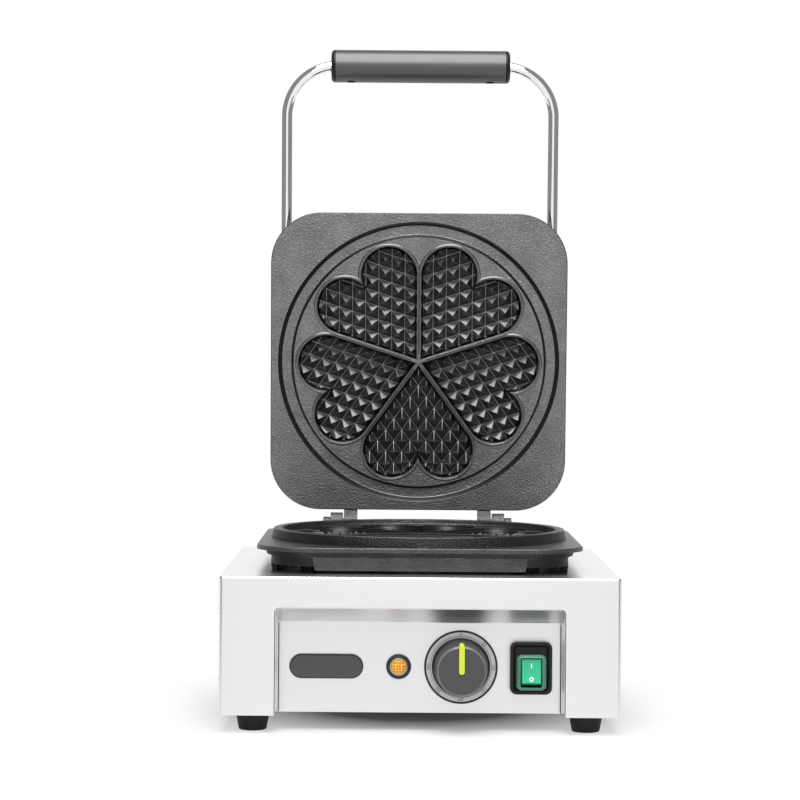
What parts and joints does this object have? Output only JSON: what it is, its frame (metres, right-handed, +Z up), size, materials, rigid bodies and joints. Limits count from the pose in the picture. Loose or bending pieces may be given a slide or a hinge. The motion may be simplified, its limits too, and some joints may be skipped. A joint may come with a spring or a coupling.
{
  "type": "heart waffle maker",
  "caption": "Countertop electric waffle maker with hinged cast plates for joined hearts, bent rod handle, thermostat knob, signal lamp and rocker switch.",
  "frame": {"origin": "on the table that the feet stand on, under the middle of the whole object's box", "axes": "+X to the right of a user who faces the controls, +Y to the back, +Z up"},
  "size_m": [0.311, 0.3382, 0.5474],
  "materials": {
    "stainless": "brushed",
    "plain_steel": "satin",
    "chromed_steel": "polished",
    "black_iron": "fine cast, seasoned",
    "grey_iron": "fine cast, dark coated",
    "heater_sheath": "oxidised",
    "rubber_feet": "matt",
    "grip_plastic": "satin",
    "black_plastic": "satin",
    "knob_plastic": "satin",
    "pointer_lime": "gloss",
    "badge_grey": "satin",
    "dial_silver": "satin",
    "lamp_amber": "clear gloss",
    "switch_green": "clear gloss",
    "boot_green": "clear gloss",
    "ceramic": "matt"
  },
  "bodies": {
    "base": {"base_housing": "stainless", "control_panel": "stainless", "bottom_cover": "plain_steel", "lower_waffle_plate": "black_iron", "lower_heater": "heater_sheath", "lower_heater_clamp": "plain_steel", "lower_clamp_screw": "plain_steel", "badge_plate": "badge_grey", "dial_ring": "dial_silver", "thermostat_body": "plain_steel", "lamp_bezel": "black_plastic", "lamp_lens": "lamp_amber", "switch_frame": "black_plastic", "switch_boot": "boot_green", "terminal_block": "ceramic", "cord_gland": "black_plastic", "base_lead_gland": "black_plastic", "foot_front_left": "rubber_feet", "foot_screw_front_left": "plain_steel", "bottom_screw_front_left": "plain_steel", "plate_bolt_front_left": "plain_steel", "foot_front_right": "rubber_feet", "foot_screw_front_right": "plain_steel", "bottom_screw_front_right": "plain_steel", "plate_bolt_front_right": "plain_steel", "foot_rear_right": "rubber_feet", "foot_screw_rear_right": "plain_steel", "bottom_screw_rear_right": "plain_steel", "plate_bolt_rear_right": "plain_steel", "foot_rear_left": "rubber_feet", "foot_screw_rear_left": "plain_steel", "bottom_screw_rear_left": "plain_steel", "plate_bolt_rear_left": "plain_steel", "hinge_pin_left": "plain_steel", "hinge_pin_right": "plain_steel"},
    "lid": {"upper_waffle_plate": "grey_iron", "upper_heater": "heater_sheath", "upper_heater_clamp": "plain_steel", "upper_clamp_screw": "plain_steel", "lid_cover": "stainless", "lid_lead_gland": "black_plastic", "handle_rod": "chromed_steel", "handle_grip": "grip_plastic", "lid_screw_front_left": "plain_steel", "lid_screw_front_right": "plain_steel", "lid_screw_rear_right": "plain_steel", "lid_screw_rear_left": "plain_steel", "grip_screw_left": "plain_steel", "grip_screw_right": "plain_steel", "handle_saddle_rear_left": "stainless", "handle_saddle_rear_right": "stainless", "handle_saddle_front_left": "stainless", "handle_saddle_front_right": "stainless"},
    "knob": {"thermostat_knob": "knob_plastic", "knob_pointer": "pointer_lime", "thermostat_shaft": "plain_steel"},
    "rocker": {"switch_rocker": "switch_green"}
  },
  "joints": [
    {"name": "lid_hinge", "type": "hinge", "parent": "base", "child": "lid", "pos_m": [0, 0.1252, 0.1424], "axis": [1, 0, 0], "range_deg": [0, 85]},
    {"name": "knob_turn", "type": "hinge", "parent": "base", "child": "knob", "pos_m": [0.03139, -0.1382, 0.049], "axis": [0, 1, 0], "range_deg": [0, 270]},
    {"name": "switch_rock", "type": "hinge", "parent": "base", "child": "rocker", "pos_m": [0.08459, -0.1412, 0.0462], "axis": [1, 0, 0], "range_deg": [0, 16]}
  ]
}
